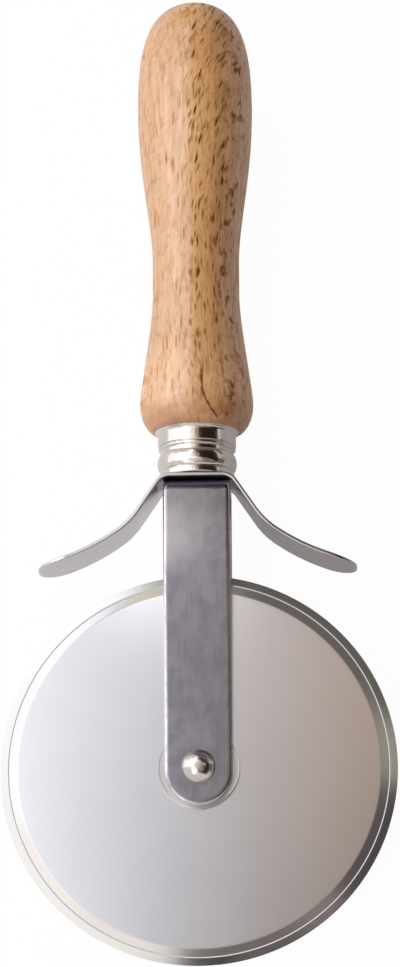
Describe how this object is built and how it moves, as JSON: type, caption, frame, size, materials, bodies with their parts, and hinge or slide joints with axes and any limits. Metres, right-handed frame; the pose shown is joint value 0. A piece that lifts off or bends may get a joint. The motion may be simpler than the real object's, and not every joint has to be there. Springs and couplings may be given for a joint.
{
  "type": "pizza cutter",
  "caption": "Hand-held pizza cutter: a bevelled cutting wheel that spins on a riveted axle in a bent strap fork, with a winged finger guard, a polished ferrule and a turned wooden handle.",
  "frame": {"origin": "centre of the cutting wheel: on the axle's axis, half way through the blade", "axes": "+Z along the axle towards the domed rivet head, up when the cutter lies on its back; +Y along the handle, from the wheel to the handle's end; +X to the right seen from +Z"},
  "size_m": [0.1, 0.2523, 0.0294],
  "materials": {
    "beech": "oiled turned beech with short dark flecks",
    "polished_nickel": "polished warm nickel plate",
    "guard_steel": "satin strap steel, rounded edges",
    "fork_steel": "tumbled satin strap steel with faint mottling",
    "screw_steel": "bright zinc plate",
    "blade_steel": "fine satin stainless steel with turned bevels",
    "washer_steel": "plain satin steel",
    "bush_brass": "turned brass"
  },
  "bodies": {
    "frame": {"handle": "beech", "ferrule": "polished_nickel", "finger_guard": "guard_steel", "fork": "fork_steel", "mounting_screw": "screw_steel", "screw_washer": "screw_steel", "axle_bush": "bush_brass", "axle_rivet": "polished_nickel", "rivet_cap": "polished_nickel"},
    "wheel": {"blade": "blade_steel"},
    "front_spacer": {"front_washer": "washer_steel"},
    "rear_spacer": {"rear_washer": "washer_steel"}
  },
  "joints": [
    {"name": "wheel_spin", "type": "hinge", "parent": "frame", "child": "wheel", "pos_m": [0, 0, 0], "axis": [0, 0, 1], "continuous": true},
    {"name": "front_spacer_spin", "type": "hinge", "parent": "frame", "child": "front_spacer", "pos_m": [0, 0, 0], "axis": [0, 0, 1], "continuous": true},
    {"name": "rear_spacer_spin", "type": "hinge", "parent": "frame", "child": "rear_spacer", "pos_m": [0, 0, 0], "axis": [0, 0, 1], "continuous": true}
  ]
}
